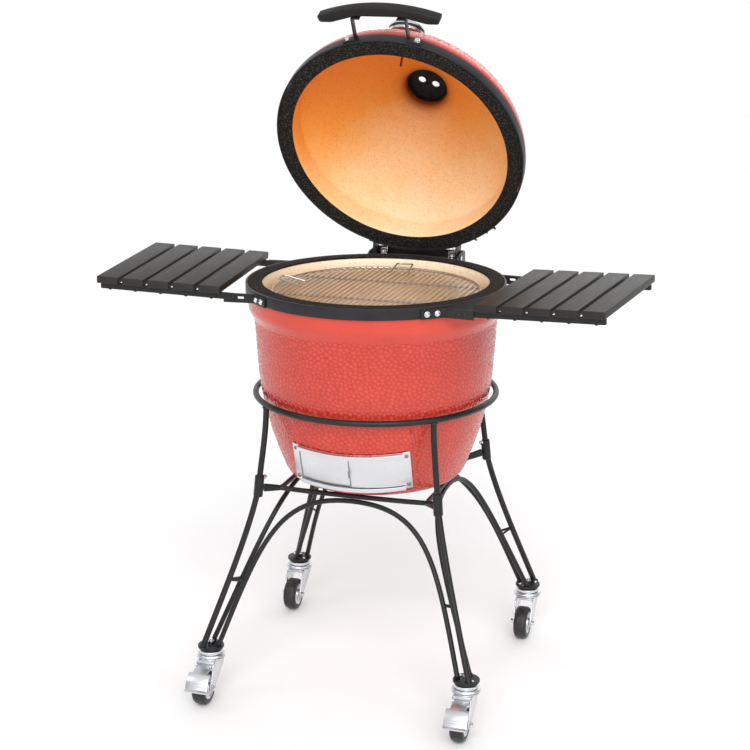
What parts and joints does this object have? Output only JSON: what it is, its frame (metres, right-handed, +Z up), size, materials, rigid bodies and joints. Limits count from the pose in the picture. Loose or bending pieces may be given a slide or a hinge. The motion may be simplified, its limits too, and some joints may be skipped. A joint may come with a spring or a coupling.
{
  "type": "kamado ceramic grill",
  "caption": "Ceramic charcoal grill with a hinged dome, folding side shelves, a sliding draft door and a rod stand on swivel casters.",
  "frame": {"origin": "on the floor, under the middle of the whole object's bounding box with the lid open and both shelves up", "axes": "+Z up, -Y towards the front with the draft door, +X towards the right shelf as seen from the front"},
  "size_m": [1.1652, 0.8132, 1.4794],
  "materials": {
    "glaze": "gloss",
    "firebrick": "matte",
    "felt": "matte",
    "band": "satin",
    "slat": "satin",
    "handle": "satin",
    "steel_black": "satin",
    "steel": "satin",
    "chrome": "polished",
    "bright": "satin",
    "cast": "matte",
    "zinc": "satin",
    "tyre": "matte"
  },
  "bodies": {
    "base": {"base_bowl": "glaze", "base_gasket": "felt", "base_band": "band", "firebox": "firebrick", "fire_ring": "firebrick", "draft_frame": "bright", "hinge_base": "steel_black", "lift_spring_left": "chrome", "lift_spring_right": "chrome", "stand_upper_frame": "steel_black", "stand_leg_front_left": "steel_black", "stand_leg_front_right": "steel_black", "stand_leg_rear_left": "steel_black", "stand_leg_rear_right": "steel_black", "stand_arch_front": "steel_black", "stand_arch_right": "steel_black", "stand_arch_rear": "steel_black", "stand_arch_left": "steel_black", "stand_cradle": "steel_black", "shelf_bracket_left_front": "steel_black", "shelf_bracket_left_rear": "steel_black", "shelf_bracket_right_front": "steel_black", "shelf_bracket_right_rear": "steel_black"},
    "lid": {"dome": "glaze", "lid_gasket": "felt", "lid_band": "band", "handle_bar": "handle", "handle_bracket_left": "steel_black", "handle_bracket_right": "steel_black", "thermometer": "chrome", "vent_base": "cast", "hinge_lid": "steel_black"},
    "vent_disc": {"vent_disc": "cast"},
    "cooking_grate": {"cooking_grate": "steel"},
    "draft_left": {"draft_panel_left": "bright"},
    "draft_right": {"draft_panel_right": "bright"},
    "shelf_left": {"slat_left_1": "slat", "slat_left_2": "slat", "slat_left_3": "slat", "slat_left_4": "slat", "slat_left_5": "slat", "shelf_rail_left_front": "steel_black", "shelf_rail_left_rear": "steel_black"},
    "shelf_right": {"slat_right_1": "slat", "slat_right_2": "slat", "slat_right_3": "slat", "slat_right_4": "slat", "slat_right_5": "slat", "shelf_rail_right_front": "steel_black", "shelf_rail_right_rear": "steel_black"},
    "caster_front_left": {"caster_fork_front_left": "zinc"},
    "wheel_front_left": {"caster_wheel_front_left": "tyre"},
    "caster_front_right": {"caster_fork_front_right": "zinc"},
    "wheel_front_right": {"caster_wheel_front_right": "tyre"},
    "caster_rear_left": {"caster_fork_rear_left": "zinc"},
    "wheel_rear_left": {"caster_wheel_rear_left": "tyre"},
    "caster_rear_right": {"caster_fork_rear_right": "zinc"},
    "wheel_rear_right": {"caster_wheel_rear_right": "tyre"},
    "pedal_front_left": {"brake_pedal_front_left": "zinc"},
    "pedal_front_right": {"brake_pedal_front_right": "zinc"}
  },
  "joints": [
    {"name": "lid_hinge", "type": "hinge", "parent": "base", "child": "lid", "pos_m": [0, 0.2627, 0.8888], "axis": [1, 0, 0], "range_deg": [0, 62.2], "stiffness_Nm_per_rad": 52, "springref_deg": -11.46, "deforming": ["lift_spring_left", "lift_spring_right"]},
    {"name": "vent_disc_turn", "type": "hinge", "parent": "lid", "child": "vent_disc", "pos_m": [0, 0.36982, 1.27764], "axis": [0, 0.8846, 0.4664], "range_deg": [0, 75]},
    {"name": "cooking_grate_lift", "type": "slide", "parent": "base", "child": "cooking_grate", "axis": [0, 0, 1], "range_m": [0, 0.06]},
    {"name": "draft_panel_left_slide", "type": "hinge", "parent": "base", "child": "draft_left", "pos_m": [-0.00366, 0.0285, 0.62741], "axis": [0.0209, -0.3414, 0.9397], "range_deg": [0, 22]},
    {"name": "draft_panel_right_slide", "type": "hinge", "parent": "base", "child": "draft_right", "pos_m": [-0.00366, 0.0285, 0.62741], "axis": [0.0209, -0.3414, 0.9397], "range_deg": [-22, 0]},
    {"name": "shelf_left_fold", "type": "hinge", "parent": "base", "child": "shelf_left", "pos_m": [-0.26832, -0.05647, 0.8778], "axis": [0.0934, -0.9956, 0], "range_deg": [0, 90]},
    {"name": "shelf_right_fold", "type": "hinge", "parent": "base", "child": "shelf_right", "pos_m": [0.26832, -0.05647, 0.8778], "axis": [0.0934, 0.9956, 0], "range_deg": [0, 90]},
    {"name": "caster_swivel_front_left", "type": "hinge", "parent": "base", "child": "caster_front_left", "pos_m": [-0.288, -0.3103, 0.1], "axis": [0, 0, 1], "continuous": true},
    {"name": "wheel_spin_front_left", "type": "hinge", "parent": "caster_front_left", "child": "wheel_front_left", "pos_m": [-0.288, -0.3563, 0.0375], "axis": [1, 0, 0], "continuous": true},
    {"name": "caster_swivel_front_right", "type": "hinge", "parent": "base", "child": "caster_front_right", "pos_m": [0.288, -0.3103, 0.1], "axis": [0, 0, 1], "continuous": true},
    {"name": "wheel_spin_front_right", "type": "hinge", "parent": "caster_front_right", "child": "wheel_front_right", "pos_m": [0.288, -0.3563, 0.0375], "axis": [1, 0, 0], "continuous": true},
    {"name": "caster_swivel_rear_left", "type": "hinge", "parent": "base", "child": "caster_rear_left", "pos_m": [-0.288, 0.2477, 0.1], "axis": [0, 0, 1], "continuous": true},
    {"name": "wheel_spin_rear_left", "type": "hinge", "parent": "caster_rear_left", "child": "wheel_rear_left", "pos_m": [-0.288, 0.2017, 0.0375], "axis": [1, 0, 0], "continuous": true},
    {"name": "caster_swivel_rear_right", "type": "hinge", "parent": "base", "child": "caster_rear_right", "pos_m": [0.288, 0.2477, 0.1], "axis": [0, 0, 1], "continuous": true},
    {"name": "wheel_spin_rear_right", "type": "hinge", "parent": "caster_rear_right", "child": "wheel_rear_right", "pos_m": [0.288, 0.2017, 0.0375], "axis": [1, 0, 0], "continuous": true},
    {"name": "brake_pedal_left", "type": "hinge", "parent": "caster_front_left", "child": "pedal_front_left", "pos_m": [-0.288, -0.3423, 0.0805], "axis": [1, 0, 0], "range_deg": [-10, 4.5]},
    {"name": "brake_pedal_right", "type": "hinge", "parent": "caster_front_right", "child": "pedal_front_right", "pos_m": [0.288, -0.3423, 0.0805], "axis": [1, 0, 0], "range_deg": [-10, 4.5]}
  ]
}
